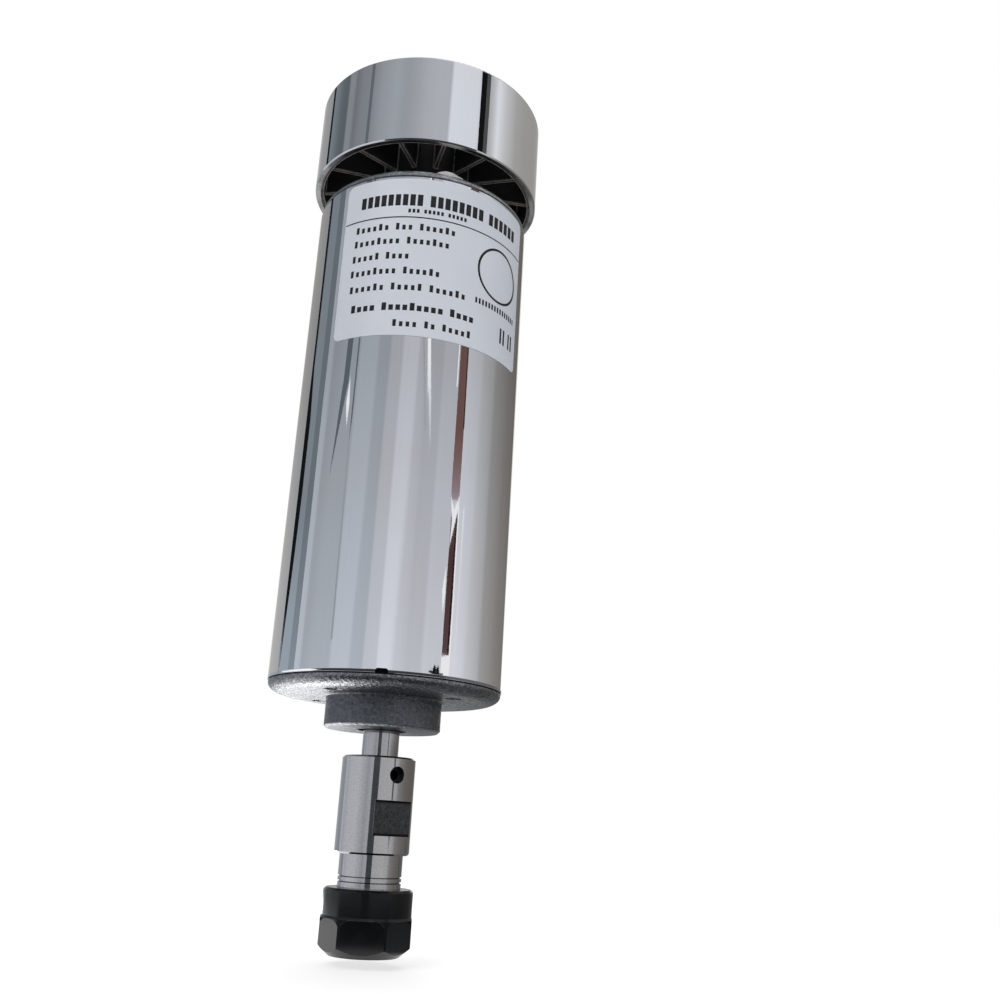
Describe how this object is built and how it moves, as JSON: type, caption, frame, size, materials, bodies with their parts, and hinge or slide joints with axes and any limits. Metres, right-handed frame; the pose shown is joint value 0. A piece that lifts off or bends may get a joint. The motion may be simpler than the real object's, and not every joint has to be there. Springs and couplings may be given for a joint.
{
  "type": "motor spindle",
  "caption": "Air-cooled brushed motor spindle: chromed can, cast end brackets, ball-bearing shaft, rear fan in a chromed ring, and a collet chuck with its nut.",
  "frame": {"origin": "on the spindle axis, at the front rim of the can, where the front bracket closes it", "axes": "+Z along the spindle axis from the chuck to the fan; -Y towards the middle of the can's front side, so +X is to the right of it"},
  "size_m": [0.0566, 0.0566, 0.2027],
  "materials": {
    "bright_chrome": "mirror chrome plate",
    "ring_chrome": "mirror chrome plate",
    "cast_bracket": "die-cast, fine grain",
    "rear_casting": "die-cast, fine grain",
    "ground_shaft": "ground",
    "ground_chuck": "ground",
    "black_screw": "black oxide",
    "collet_steel": "ground spring steel",
    "black_oxide_nut": "black oxide",
    "extractor_steel": "spring steel",
    "fan_plastic": "moulded",
    "zinc_washer": "zinc plated",
    "zinc_nut": "zinc plated",
    "zinc_bolt": "zinc plated",
    "tinned_brass": "tinned",
    "phenolic_bushing": "moulded",
    "phenolic_plate": "pressed laminate",
    "zinc_screw": "zinc plated",
    "box_brass": "rolled sheet",
    "carbon": "carbon",
    "spring_wire": "drawn wire",
    "ferrite": "sintered ferrite",
    "clip_steel": "spring steel",
    "lamination_steel": "laminated",
    "enamelled_copper": "enamelled copper",
    "fibre": "vulcanised fibre",
    "commutator_resin": "moulded",
    "commutator_copper": "turned copper",
    "circlip_steel": "phosphated",
    "washer_steel": "spring steel",
    "race_steel": "ground",
    "shield_steel": "pressed",
    "ball_steel": "polished",
    "cage_brass": "turned"
  },
  "bodies": {
    "stator": {"motor_can": "bright_chrome", "front_bracket": "cast_bracket", "rear_bracket": "rear_casting", "front_bearing_outer_race": "race_steel", "front_bearing_shields": "shield_steel", "rear_bearing_outer_race": "race_steel", "rear_bearing_shields": "shield_steel", "front_bearing_circlip": "circlip_steel", "bearing_preload_washer": "washer_steel", "magnet_a": "ferrite", "magnet_b": "ferrite", "magnet_clips": "clip_steel", "tie_bolts": "zinc_bolt", "brush_plate": "phenolic_plate", "brush_plate_screws": "zinc_screw", "brush_box_a": "box_brass", "brush_box_b": "box_brass", "brush_spring_a": "spring_wire", "brush_spring_b": "spring_wire", "supply_terminals": "tinned_brass", "terminal_bushings": "phenolic_bushing"},
    "rotor": {"shaft": "ground_shaft", "front_bearing_inner_race": "race_steel", "rear_bearing_inner_race": "race_steel", "armature_core": "lamination_steel", "armature_windings": "enamelled_copper", "slot_insulators": "fibre", "commutator_hub": "commutator_resin", "commutator_bars": "commutator_copper", "fan_wheel": "fan_plastic", "fan_ring": "ring_chrome", "fan_washer": "zinc_washer", "fan_nut": "zinc_nut", "collet_chuck": "ground_chuck", "chuck_set_screws": "black_screw"},
    "front_ball_set": {"front_bearing_balls": "ball_steel", "front_bearing_cage": "cage_brass"},
    "rear_ball_set": {"rear_bearing_balls": "ball_steel", "rear_bearing_cage": "cage_brass"},
    "collet": {"collet": "collet_steel"},
    "collet_nut": {"collet_nut": "black_oxide_nut", "extractor_ring": "extractor_steel"},
    "brush_a": {"brush_a": "carbon"},
    "brush_b": {"brush_b": "carbon"}
  },
  "joints": [
    {"name": "rotor_spin", "type": "hinge", "parent": "stator", "child": "rotor", "pos_m": [0, 0, 0], "axis": [0, 0, 1], "continuous": true},
    {"name": "front_ball_orbit", "type": "hinge", "parent": "stator", "child": "front_ball_set", "pos_m": [0, 0, -0.0041], "axis": [0, 0, 1], "continuous": true},
    {"name": "rear_ball_orbit", "type": "hinge", "parent": "stator", "child": "rear_ball_set", "pos_m": [0, 0, 0.1101], "axis": [0, 0, 1], "continuous": true},
    {"name": "collet_draw", "type": "slide", "parent": "rotor", "child": "collet", "axis": [0, 0, -1], "range_m": [0, 0.002]},
    {"name": "nut_turn", "type": "hinge", "parent": "collet", "child": "collet_nut", "pos_m": [0, 0, -0.048], "axis": [0, 0, -1], "range_deg": [0, 720]},
    {"name": "brush_a_lift", "type": "slide", "parent": "stator", "child": "brush_a", "axis": [0.2419, -0.9703, 0], "range_m": [0, 0.0012], "stiffness_N_per_m": 250},
    {"name": "brush_b_lift", "type": "slide", "parent": "stator", "child": "brush_b", "axis": [-0.2419, 0.9703, 0], "range_m": [0, 0.0012], "stiffness_N_per_m": 250}
  ],
  "couplings": [
    {"joint": "front_ball_orbit", "follows": "rotor_spin", "ratio": 0.36773},
    {"joint": "rear_ball_orbit", "follows": "rotor_spin", "ratio": 0.36773},
    {"joint": "nut_turn", "follows": "collet_draw", "rad_per_m": 6283.2}
  ]
}
